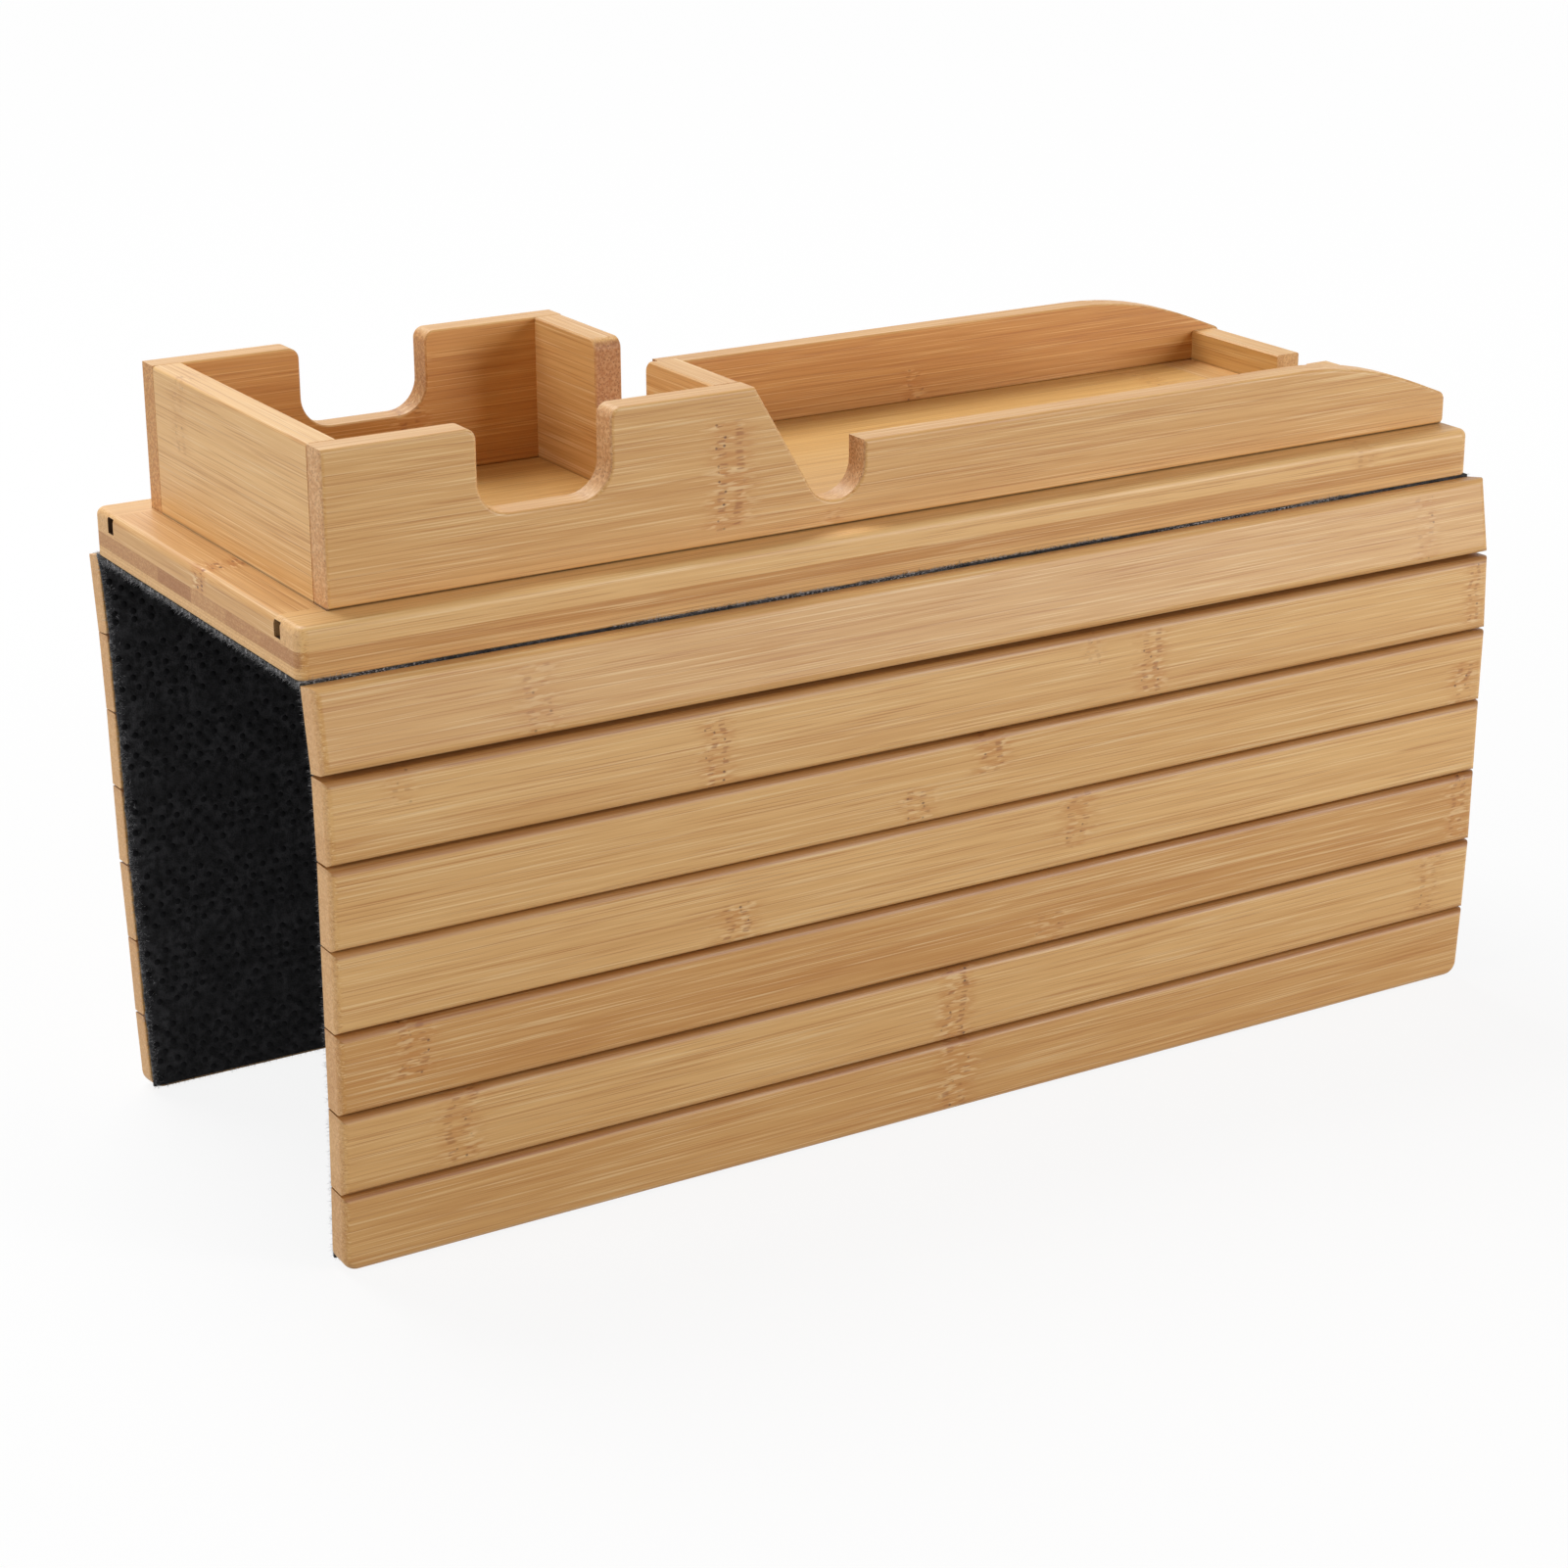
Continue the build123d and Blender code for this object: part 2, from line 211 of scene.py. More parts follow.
def node(tree, kind, sockets=(), **settings):
    """Adds a shader node; sockets gives its inputs as {name or number: value or output}."""
    made = tree.nodes.new("ShaderNode" + kind)
    for name, value in settings.items():
        setattr(made, name, value)
    for name, value in dict(sockets).items():
        if isinstance(value, bpy.types.NodeSocket):
            tree.links.new(value, made.inputs[name])
        else:
            made.inputs[name].default_value = value
    return made.outputs


def calc(tree, operation, *values):
    """One Math node's result."""
    return node(tree, "Math", dict(enumerate(values)), operation=operation)[0]


def clamped(tree, value, low, high, to_low=0.0, to_high=1.0):
    """value from low to high, smoothly turned into to_low to to_high."""
    sockets = {"Value": value, 1: low, 2: high, 3: to_low, 4: to_high}
    return node(tree, "MapRange", sockets, interpolation_type="SMOOTHSTEP")[0]


def stretched(tree, vector, factors):
    """vector scaled on each of its axes."""
    return node(tree, "VectorMath", {0: vector, 1: factors}, operation="MULTIPLY")[0]


def noise(tree, vector, factors, detail=2.0, roughness=0.5, shift=0.0):
    """Noise whose cells are 1/factors metres long on each axis."""
    moved = node(
        tree, "VectorMath", {0: stretched(tree, vector, factors), 1: (shift,) * 3}, operation="ADD"
    )[0]
    sockets = {"Vector": moved, "Scale": 1.0, "Detail": detail, "Roughness": roughness}
    return node(tree, "TexNoise", sockets)["Fac"]


def mixed(tree, factor, first, second, blend="MIX"):
    """Two colours mixed."""
    sockets = {0: factor, 6: first, 7: second}
    return node(tree, "Mix", sockets, data_type="RGBA", blend_type=blend)[2]


def group_tree(name, inputs, outputs):
    """A new node group with its sockets, its input node's outputs and its output node."""
    tree = bpy.data.node_groups.new(name, "ShaderNodeTree")
    for label, kind in inputs:
        tree.interface.new_socket(label, in_out="INPUT", socket_type="NodeSocket" + kind)
    for label, kind in outputs:
        tree.interface.new_socket(label, in_out="OUTPUT", socket_type="NodeSocket" + kind)
    return tree, tree.nodes.new("NodeGroupInput").outputs, tree.nodes.new("NodeGroupOutput")


def ring_mark_group():
    """One growth ring across a strip: a feathered patch with two columns of short dashes and pits."""
    tree, given, result = group_tree(
        "growth ring",
        [("Grain", "Vector"), ("Place", "Float"), ("Low", "Float"), ("High", "Float"),
         ("Width", "Float"), ("Strength", "Float")],
        [("Band", "Float"), ("Dashes", "Float"), ("Pits", "Float")],
    )
    along, across = node(tree, "SeparateXYZ", {0: given["Grain"]})[0:2]
    bulge = noise(tree, given["Grain"], (8, 150, 150), detail=1.0, shift=9.0)
    offset = calc(tree, "ADD", calc(tree, "SUBTRACT", along, given["Place"]),
                  calc(tree, "MULTIPLY_ADD", bulge, 0.007, -0.0035))
    half_width = calc(tree, "MULTIPLY", given["Width"], 0.5)
    share = calc(tree, "ABSOLUTE", calc(tree, "DIVIDE", offset, half_width))
    feather = noise(tree, given["Grain"], (60, 1500, 1500), detail=2.0, shift=5.0)
    reach = calc(tree, "ADD", share, calc(tree, "MULTIPLY_ADD", feather, 2.6, -1.3))
    band = clamped(tree, reach, 0.5, 2.2, 1.0, 0.0)
    inner = clamped(tree, share, 0.9, 1.2, 1.0, 0.0)
    for edge, sign in ((given["Low"], 1.0), (given["High"], -1.0)):
        inside = calc(tree, "MULTIPLY", calc(tree, "SUBTRACT", across, edge), sign)
        inside = clamped(tree, inside, -0.0008, 0.0008)
        band = calc(tree, "MULTIPLY", band, inside)
        inner = calc(tree, "MULTIPLY", inner, inside)
    from_column = calc(tree, "ABSOLUTE", calc(tree, "SUBTRACT", share, 0.55))
    in_column = calc(tree, "MULTIPLY", inner, clamped(tree, from_column, 0.12, 0.36, 1.0, 0.0))
    dash = noise(tree, given["Grain"], (170, 1500, 1500), detail=0.0, shift=15.0)
    dashes = calc(tree, "MULTIPLY", in_column, clamped(tree, dash, 0.54, 0.66))
    cells = node(tree, "TexVoronoi",
                 {"Vector": stretched(tree, given["Grain"], (430, 560, 560)), "Scale": 1.0},
                 feature="F1")
    chosen = clamped(tree, node(tree, "SeparateXYZ", {0: cells["Color"]})[0], 0.50, 0.54)
    round_pit = clamped(tree, cells["Distance"], 0.08, 0.27, 1.0, 0.0)
    pits = calc(tree, "MULTIPLY", calc(tree, "MULTIPLY", chosen, round_pit),
                calc(tree, "MULTIPLY", inner, clamped(tree, from_column, 0.25, 0.5, 1.0, 0.0)))
    for value, name in ((band, "Band"), (dashes, "Dashes"), (pits, "Pits")):
        tree.links.new(calc(tree, "MULTIPLY", value, given["Strength"]), result.inputs[name])
    return tree


def bamboo_group(colours):
    """Lacquered bamboo: glued strips, long fibres, pale and dark hairlines, speckled end grain."""
    tree, given, result = group_tree(
        "lacquered bamboo",
        [("Grain", "Vector"), ("Seed", "Float"), ("Depth", "Float"), ("Strip Width", "Float"),
         ("End Grain", "Float"), ("Band", "Float"), ("Dashes", "Float"), ("Pits", "Float")],
        [("Color", "Color"), ("Roughness", "Float"), ("Height", "Float")],
    )
    along, across, depth = node(tree, "SeparateXYZ", {0: given["Grain"]})
    place = calc(tree, "ADD", calc(tree, "DIVIDE", across, given["Strip Width"]),
                 calc(tree, "MULTIPLY", given["Seed"], 0.37))
    strip = calc(tree, "FLOOR", place)
    tone = node(tree, "TexWhiteNoise",
                {"W": calc(tree, "MULTIPLY_ADD", given["Seed"], 7.31, strip)},
                noise_dimensions="1D")["Value"]
    shift = node(tree, "CombineXYZ",
                 {0: calc(tree, "MULTIPLY_ADD", tone, 2.3, calc(tree, "MULTIPLY", given["Seed"], 1.7)),
                  1: calc(tree, "MULTIPLY", given["Seed"], 0.13),
                  2: calc(tree, "MULTIPLY", tone, 0.7)})[0]
    fibre_place = node(tree, "VectorMath", {0: given["Grain"], 1: shift}, operation="ADD")[0]

    broad = noise(tree, fibre_place, (3, 90, 70), detail=2.0)
    cloud = noise(tree, fibre_place, (12, 420, 300), detail=2.0, shift=3.0)
    fibres = noise(tree, fibre_place, (34, 2300, 2300), detail=3.0, roughness=0.62)
    bundle = noise(tree, fibre_place, (14, 900, 900), detail=2.0, shift=41.0)
    pale_hair = clamped(tree, noise(tree, fibre_place, (22, 2600, 2600), detail=1.0, shift=11.0), 0.57, 0.68)
    dark_hair = clamped(tree, noise(tree, fibre_place, (26, 2400, 2400), detail=1.0, shift=23.0), 0.58, 0.68)
    long_hair = clamped(tree, noise(tree, fibre_place, (6, 1500, 1500), detail=1.0, shift=61.0), 0.62, 0.72)

    brown = calc(tree, "ADD", given["Depth"], calc(tree, "MULTIPLY_ADD", tone, 0.24, -0.12))
    for source, swing in ((broad, 0.5), (cloud, 0.4), (bundle, 0.55), (fibres, 0.8)):
        brown = calc(tree, "ADD", brown, calc(tree, "MULTIPLY_ADD", source, swing, -swing / 2))
    brown = calc(tree, "MAXIMUM", brown, 0.0)
    colour = mixed(tree, brown, colours["pale"], colours["caramel"])
    colour = mixed(tree, calc(tree, "MULTIPLY", dark_hair, 0.55), colour, colours["fibre"])
    colour = mixed(tree, calc(tree, "MULTIPLY", long_hair, 0.45), colour, colours["fibre"])
    colour = mixed(tree, calc(tree, "MULTIPLY", pale_hair, 0.5), colour, colours["cream"])

    bundles = node(tree, "TexVoronoi",
                   {"Vector": stretched(tree, fibre_place, (60, 1350, 1350)), "Scale": 1.0},
                   feature="F1")["Distance"]
    pores = noise(tree, fibre_place, (90, 950, 950), detail=2.0, shift=51.0)
    speckle = calc(tree, "MULTIPLY", clamped(tree, bundles, 0.12, 0.5, 1.0, 0.0),
                   clamped(tree, pores, 0.3, 0.6, 0.35, 1.0))
    cut = mixed(tree, clamped(tree, pores, 0.35, 0.65), colours["cut"], colours["cut_pale"])
    cut = mixed(tree, calc(tree, "MULTIPLY", speckle, 0.8), cut, colours["speckle"])
    colour = mixed(tree, given["End Grain"], colour, cut)

    streak = noise(tree, given["Grain"], (150, 1300, 1300), detail=2.0, shift=31.0)
    stain = calc(tree, "MULTIPLY", given["Band"], clamped(tree, streak, 0.40, 0.62, 0.15, 0.8))
    colour = mixed(tree, stain, colour, colours["ring"])
    fleck = noise(tree, given["Grain"], (190, 1000, 1000), detail=1.0, shift=71.0)
    fleck = calc(tree, "MULTIPLY", given["Band"], clamped(tree, fleck, 0.55, 0.65, 0.0, 0.6))
    colour = mixed(tree, fleck, colour, colours["cream"])
    colour = mixed(tree, calc(tree, "MULTIPLY", given["Dashes"], 0.7), colour, colours["dash"])
    colour = mixed(tree, calc(tree, "MULTIPLY", given["Pits"], 0.9), colour, colours["pit"])

    seam = calc(tree, "ABSOLUTE", calc(tree, "SUBTRACT", calc(tree, "FRACT", place), 0.5))
    seam_half = calc(tree, "DIVIDE", 0.00012, given["Strip Width"])
    seam_line = calc(tree, "GREATER_THAN", seam, calc(tree, "SUBTRACT", 0.5, seam_half))
    colour = mixed(tree, calc(tree, "MULTIPLY", seam_line, 0.3), colour, colours["fibre"])

    rough = calc(tree, "MULTIPLY_ADD", fibres, 0.2, 0.38)
    rough = calc(tree, "MULTIPLY_ADD", given["End Grain"], 0.2, rough)
    height = calc(tree, "ADD", calc(tree, "MULTIPLY", fibres, 0.7),
                  calc(tree, "MULTIPLY", dark_hair, -0.4))
    height = calc(tree, "SUBTRACT", height, calc(tree, "MULTIPLY", speckle, given["End Grain"]))
    height = calc(tree, "SUBTRACT", height, calc(tree, "MULTIPLY", given["Pits"], 1.6))
    tree.links.new(colour, result.inputs["Color"])
    tree.links.new(rough, result.inputs["Roughness"])
    tree.links.new(height, result.inputs["Height"])
    return tree


def new_material(name):
    """A material with an empty tree, its shader and its output joined."""
    material = bpy.data.materials.new(name)
    material.use_nodes = True
    tree = material.node_tree
    tree.nodes.clear()
    shader = tree.nodes.new("ShaderNodeBsdfPrincipled")
    output = tree.nodes.new("ShaderNodeOutputMaterial")
    tree.links.new(shader.outputs[0], output.inputs["Surface"])
    return material, tree, shader


def groove_mask(tree, parts, bottom, top):
    """1 on the walls of the grooves that stay open at the board's two ends, where shade is painted."""
    aside = calc(tree, "ABSOLUTE", parts["Y"])
    level = calc(tree, "ABSOLUTE", calc(tree, "SUBTRACT", parts["Z"], (bottom + top) / 2))
    mask = calc(tree, "LESS_THAN", level, GROOVE_HALF_HEIGHT * MM)
    mask = calc(tree, "MULTIPLY", mask, calc(tree, "GREATER_THAN", aside, GROOVE_FROM * MM))
    mask = calc(tree, "MULTIPLY", mask, calc(tree, "LESS_THAN", aside, GROOVE_TO * MM))
    return calc(tree, "MULTIPLY", mask, calc(tree, "LESS_THAN", calc(tree, "ABSOLUTE", parts["X"]), GROOVE_END * MM))


def bamboo_material(piece, seed, look, groups, settings):
    """The material of one bamboo piece, with its own grain direction, tone and growth rings."""
    kind, depth, strip_width, end_share = look
    axes = GRAIN_ALONG[kind]
    material, tree, shader = new_material(piece + "_bamboo")
    coordinate = tree.nodes.new("ShaderNodeTexCoord").outputs
    parts = node(tree, "SeparateXYZ", {0: coordinate["Object"]})
    grain = node(tree, "CombineXYZ", {n: parts[axis] for n, axis in enumerate(axes)})[0]
    facing = node(tree, "SeparateXYZ", {0: coordinate["Normal"]})[axes[0]]
    end_grain = clamped(tree, calc(tree, "ABSOLUTE", facing), 0.5, 0.9, 0.0, end_share)

    low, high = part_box(piece)
    across = "XYZ".index(axes[1])
    width = high[across] - low[across]
    marks = {"Band": 0.0, "Dashes": 0.0, "Pits": 0.0}
    for place, start, end, mark_width, strength in MARKS.get(piece, ()):
        sockets = {
            "Grain": grain,
            "Place": place * MM,
            "Low": low[across] + (start * width if start > 0 else -0.01),
            "High": low[across] + (end * width if end < 1 else width + 0.01),
            "Width": mark_width * MM,
            "Strength": strength,
        }
        mark = tree.nodes.new("ShaderNodeGroup")
        mark.node_tree = groups["ring"]
        for name, value in sockets.items():
            if name == "Grain":
                tree.links.new(value, mark.inputs[name])
            else:
                mark.inputs[name].default_value = value
        for name in marks:
            marks[name] = calc(tree, "MAXIMUM", marks[name], mark.outputs[name])

    bamboo = tree.nodes.new("ShaderNodeGroup")
    bamboo.node_tree = groups["bamboo"]
    bamboo.inputs["Seed"].default_value = seed
    bamboo.inputs["Depth"].default_value = depth
    bamboo.inputs["Strip Width"].default_value = strip_width * MM
    for name, value in {"Grain": grain, "End Grain": end_grain, **marks}.items():
        if isinstance(value, bpy.types.NodeSocket):
            tree.links.new(value, bamboo.inputs[name])
    colour = bamboo.outputs["Color"]
    # Painted shadow: a dark line along the foot of the piece where it stands on the board
    if piece in PAINTED_FOOT_SHADOW:
        seam = clamped(tree, parts["Z"], low.z + 0.0002, low.z + 0.0008, PAINTED_FOOT_SHADOW[piece], 0.0)
        colour = mixed(tree, seam, colour, settings.painted_shadow_colour)
    # Painted shade inside the open grooves at the board's ends
    if piece.endswith("_strip"):
        painted_groove_shade = groove_mask(tree, parts, low.z, high.z)
        colour = mixed(tree, calc(tree, "MULTIPLY", painted_groove_shade, 0.97), colour, settings.painted_shadow_colour)
    if piece in END_SHADE_OF:
        shade = clamped(tree, calc(tree, "ABSOLUTE", facing), 0.5, 0.9, 0.0, END_SHADE_OF[piece])
        colour = mixed(tree, shade, colour, settings.core_shade, blend="MULTIPLY")
    # Painted shade and bounce light: a darker, warmer tint on upright faces, or all over the board's panel
    if piece in PAINTED_BOUNCE_TINT:
        upright = clamped(tree, node(tree, "SeparateXYZ", {0: coordinate["Normal"]})[2], 0.4, 0.8, 1.0, 0.0)
        colour = mixed(tree, 1.0 if piece == "board_panel" else upright, colour, PAINTED_BOUNCE_TINT[piece], blend="MULTIPLY")
    # Painted shade on each slat's top edge below the gap to the slat above, weaker on the end faces
    if kind == "slat" and not piece.endswith("_1"):
        below = calc(tree, "SUBTRACT", high.z, parts["Z"])
        beside = clamped(tree, calc(tree, "ABSOLUTE", facing), 0.5, 0.9, 1.0, 0.25)
        shade = calc(tree, "MULTIPLY", clamped(tree, below, 0.0012, 0.0021, 0.85, 0.0), beside)
        colour = mixed(tree, shade, colour, settings.painted_gap_shade, blend="MULTIPLY")
    tree.links.new(colour, shader.inputs["Base Color"])
    tree.links.new(bamboo.outputs["Roughness"], shader.inputs["Roughness"])
    shader.inputs["Specular IOR Level"].default_value = 0.5
    shader.inputs["Coat Weight"].default_value = 0.08
    shader.inputs["Coat Roughness"].default_value = 0.3
    bump = node(tree, "Bump", {"Strength": 0.25, "Distance": 0.00012, "Height": bamboo.outputs["Height"]})
    tree.links.new(bump[0], shader.inputs["Normal"])
    return material


def steel_material():
    """Zinc-plated steel of the screws, with fine turned lines."""
    material, tree, shader = new_material("zinc_steel")
    place = tree.nodes.new("ShaderNodeTexCoord").outputs["Object"]
    turned = noise(tree, place, (300, 300, 5000), detail=2.0)
    stain = noise(tree, place, (900, 900, 900), detail=3.0, shift=4.0)
    colour = mixed(tree, stain, (0.46, 0.46, 0.45, 1), (0.66, 0.66, 0.64, 1))
    tree.links.new(colour, shader.inputs["Base Color"])
    tree.links.new(calc(tree, "MULTIPLY_ADD", turned, 0.25, 0.22), shader.inputs["Roughness"])
    shader.inputs["Metallic"].default_value = 1.0
    bump = node(tree, "Bump", {"Strength": 0.2, "Distance": 0.00005, "Height": turned})
    tree.links.new(bump[0], shader.inputs["Normal"])
    return material


def felt_material(settings):
    """Needled felt, read from the cut sheet's own map in metres, paler where it is cut."""
    material, tree, shader = new_material("needled_felt")
    sheet_place = node(tree, "UVMap", uv_map="cut")[0]
    wool = noise(tree, sheet_place, (1900, 1900, 1), detail=4.0, roughness=0.7)
    matted = noise(tree, sheet_place, (420, 420, 1), detail=3.0, shift=7.0)
    cloudy = noise(tree, sheet_place, (110, 110, 1), detail=2.0, shift=2.0)
    tuft = clamped(tree, noise(tree, sheet_place, (1300, 1300, 1), detail=2.0, shift=17.0), 0.62, 0.8)
    base = mixed(tree, clamped(tree, matted, 0.35, 0.65), settings.felt_dark, settings.felt_light)
    base = mixed(tree, clamped(tree, wool, 0.45, 0.75, 0.0, 0.35), base, settings.felt_fibre)
    base = mixed(tree, calc(tree, "MULTIPLY", tuft, 0.3), base, settings.felt_fibre)
    base = mixed(tree, clamped(tree, cloudy, 0.4, 0.62, 0.0, 0.5), base, settings.felt_dark)
    along, run = node(tree, "SeparateXYZ", {0: sheet_place})[0:2]
    half = settings.felt_length / 2
    from_edge = calc(tree, "SUBTRACT", half, calc(tree, "ABSOLUTE", along))
    ragged = calc(tree, "MULTIPLY_ADD", wool, 0.004, -0.0018)
    edge = clamped(tree, calc(tree, "SUBTRACT", from_edge, ragged), 0.0, 0.0014, 0.6, 0.0)
    base = mixed(tree, edge, base, settings.felt_cut)
    matted_edge = noise(tree, sheet_place, (900, 900, 1), detail=3.0, shift=47.0)
    frayed = clamped(tree, from_edge, 0.0, 0.0016, 0.55, 0.0)
    frayed = calc(tree, "MULTIPLY", frayed, clamped(tree, matted_edge, 0.50, 0.64))
    base = mixed(tree, frayed, base, settings.loose_fibre)
    from_fold = calc(tree, "ABSOLUTE", calc(tree, "SUBTRACT", calc(tree, "ABSOLUTE", run), FIRST_FOLD * MM))
    lint = noise(tree, sheet_place, (1500, 3500, 1), detail=2.0, shift=27.0)
    patch = noise(tree, sheet_place, (14, 1, 1), detail=2.0, shift=37.0)
    dusty = calc(tree, "MULTIPLY", clamped(tree, lint, 0.5, 0.66), clamped(tree, patch, 0.42, 0.6, 0.05, 0.9))
    dusty = calc(tree, "MULTIPLY", dusty, clamped(tree, from_fold, 0.0012, 0.0020, 1.0, 0.0))
    base = mixed(tree, dusty, base, settings.loose_fibre)
    tree.links.new(base, shader.inputs["Base Color"])
    shader.inputs["Roughness"].default_value = 0.95
    shader.inputs["Specular IOR Level"].default_value = 0.1
    shader.inputs["Sheen Weight"].default_value = 0.08
    shader.inputs["Sheen Roughness"].default_value = 0.6
    height = calc(tree, "ADD", wool, calc(tree, "MULTIPLY", matted, 1.5))
    bump = node(tree, "Bump", {"Strength": 0.8, "Distance": 0.0004, "Height": height})
    tree.links.new(bump[0], shader.inputs["Normal"])
    return material


def dot_material(settings):
    """Rubber of the small anti-slip dots."""
    material, tree, shader = new_material("rubber_dots")
    place = node(tree, "UVMap", uv_map="cut")[0]
    dust = noise(tree, place, (900, 900, 1), detail=3.0)
    colour = mixed(tree, clamped(tree, dust, 0.4, 0.8, 0.0, 0.5), settings.dot_colour, settings.felt_dark)
    tree.links.new(colour, shader.inputs["Base Color"])
    tree.links.new(calc(tree, "MULTIPLY_ADD", dust, 0.3, 0.6), shader.inputs["Roughness"])
    shader.inputs["Specular IOR Level"].default_value = 0.12
    return material


def fuzz_material(settings):
    """Loose fibres along the felt's cut edges."""
    material, tree, shader = new_material("felt_fuzz")
    place = node(tree, "UVMap", uv_map="cut")[0]
    shade = noise(tree, place, (2500, 2500, 1), detail=1.0)
    colour = mixed(tree, clamped(tree, shade, 0.35, 0.65), settings.felt_fibre, settings.loose_fibre)
    tree.links.new(colour, shader.inputs["Base Color"])
    shader.inputs["Roughness"].default_value = 0.9
    return material


# ---------------------------------------------------------------- felt


def fold_points(flap):
    """The fold lines of a flap as (y, z), from the board down, and the felt's lower end."""
    names = [f"{flap}_fold_{number + 1}" for number in range(SLAT_COUNT)]
    places = {joint["name"]: joint["pos_m"] for joint in frame["joints"]}
    points = [Vector(places[name][1:]) for name in names]
    side = -1 if flap == "front" else 1
    lean = math.radians(LAST_LEANS[flap])
    down = Vector((-side * math.sin(lean), -math.cos(lean)))
    return points + [points[-1] + down * LAST_FELT_RUN * MM]


def felt_object(name, bm, material):
    """A mesh object from bm, linked to the scene."""
    mesh = bpy.data.meshes.new(name)
    bm.to_mesh(mesh)
    bm.free()
    made = bpy.data.objects.new(name, mesh)
    bpy.context.scene.collection.objects.link(made)
    mesh.materials.append(material)
    return made


def lay_cut_map(bm, run_of):
    """Gives every corner its place on the flat cut sheet, in metres."""
    cut_map = bm.loops.layers.uv.new("cut")
    for face in bm.faces:
        for loop in face.loops:
            loop[cut_map].uv = (loop.vert.co.x, run_of(loop.vert))


def strip_sheet(name, line, run_start, settings, material, seed, open_end):
    """A strip of felt whose outer face follows line, points (y, z) across the tray."""
    bm = bmesh.new()
    length = settings.felt_length
    steps = round(length / settings.felt_cell)
    run = bm.verts.layers.float.new("run")
    points, runs, total = [], [], run_start
    for number, (start, end) in enumerate(zip(line, line[1:])):
        gap = (end - start).length
        cells = max(1, round(gap / settings.felt_cell))
        for cell in range(cells):
            points.append(start.lerp(end, cell / cells))
            runs.append(total + gap * cell / cells)
        total += gap
    points.append(line[-1])
    runs.append(total)
    row = [bm.verts.new((-length / 2, *point)) for point in points]
    for vert, place in zip(row, runs):
        vert[run] = place
    edges = [bm.edges.new(pair) for pair in zip(row, row[1:])]
    bmesh.ops.spin(
        bm, geom=row + edges, cent=(0, 0, 0), axis=(1, 0, 0), dvec=(length / steps, 0, 0),
        angle=0, steps=steps, use_duplicate=False,
    )
    ragged = random.Random(seed)
    for vert in bm.verts:
        side = math.copysign(1.0, vert.co.x)
        row = round((length / 2 - abs(vert.co.x)) / (length / steps))
        if row == 0:
            vert.co.x += ragged.uniform(-0.2, 0.15) * MM
        elif row <= len(EDGE_ROWS):
            vert.co.x = side * (length / 2 - EDGE_ROWS[row - 1] * MM)
        vert.co.x *= 1 - drawn_in(vert[run], settings) / (length / 2)
    lay_cut_map(bm, lambda vert: vert[run])
    made = felt_object(name, bm, material)
    made.vertex_groups.new(name="inner face")
    thick = made.vertex_groups.new(name="thickness")
    for vert in made.data.vertices:
        start = length / 2 - drawn_in(vert_run(vert, line, total), settings)
        share = edge_share(start - abs(vert.co.x), settings)
        if open_end:
            share = min(share, edge_share(total - vert_run(vert, line, total), settings))
        thick.add([vert.index], share, "REPLACE")
    return made


def edge_share(inset, settings):
    """How thick the felt is, as a share, at an inset from its cut edge."""
    rise = min(max(inset / settings.edge_width, 0.0), 1.0)
    return settings.edge_share + (1 - settings.edge_share) * math.sin(rise * math.pi / 2)


def vert_run(vert, line, total):
    """How far along the sheet a vertex lies, by its distance from the strip's last point."""
    return total - (line[-1] - Vector(vert.co[1:])).length


def drawn_in(run, settings):
    """How far the felt's ends lie behind the slats' ends, at a run along the sheet."""
    past = min(max((abs(run) - FIRST_FOLD * MM) / settings.draw_run, 0.0), 1.0)
    return settings.draw_in * past


def finish_sheet(made, settings, flip):
    """Gives the sheet its thickness towards the arm, an uneven inner face and crisp cut edges."""
    if flip:
        made.data.flip_normals()
    solid = made.modifiers.new("Felt Thickness", "SOLIDIFY")
    solid.thickness = settings.felt_thickness
    solid.offset = -1.0
    solid.use_even_offset = True
    solid.shell_vertex_group = "inner face"
    solid.vertex_group = "thickness"
    texture = bpy.data.textures.get("felt lumps") or bpy.data.textures.new("felt lumps", "CLOUDS")
    texture.noise_scale = 0.012
    texture.noise_depth = 2
    lumps = made.modifiers.new("Felt Lumps", "DISPLACE")
    lumps.texture = texture
    lumps.texture_coords = "UV"
    lumps.uv_layer = "cut"
    lumps.strength = settings.lump_height
    lumps.mid_level = 0.6
    lumps.vertex_group = "inner face"
    for polygon in made.data.polygons:
        polygon.use_smooth = True
    graph = bpy.context.evaluated_depsgraph_get()
    sheet = bpy.data.meshes.new_from_object(
        made.evaluated_get(graph), preserve_all_data_layers=True, depsgraph=graph
    )
    flat = made.data
    made.modifiers.clear()
    made.data = sheet
    bpy.data.meshes.remove(flat)
    sheet.name = made.name
    sheet.set_sharp_from_angle(angle=math.radians(CRISP_ANGLE))


def dome_mesh(radius, height):
    """One low rubber dome standing on the XY plane."""
    bm = bmesh.new()
    bmesh.ops.create_uvsphere(bm, u_segments=7, v_segments=4, radius=radius)
    cut = bmesh.ops.bisect_plane(
        bm, geom=bm.verts[:] + bm.edges[:] + bm.faces[:], plane_co=(0, 0, 0.0001 * MM),
        plane_no=(0, 0, 1), clear_inner=True,
    )
    bmesh.ops.scale(bm, vec=(1, 1, height / radius), verts=bm.verts)
    mesh = bpy.data.meshes.new("dome")
    bm.to_mesh(mesh)
    bm.free()
    return mesh


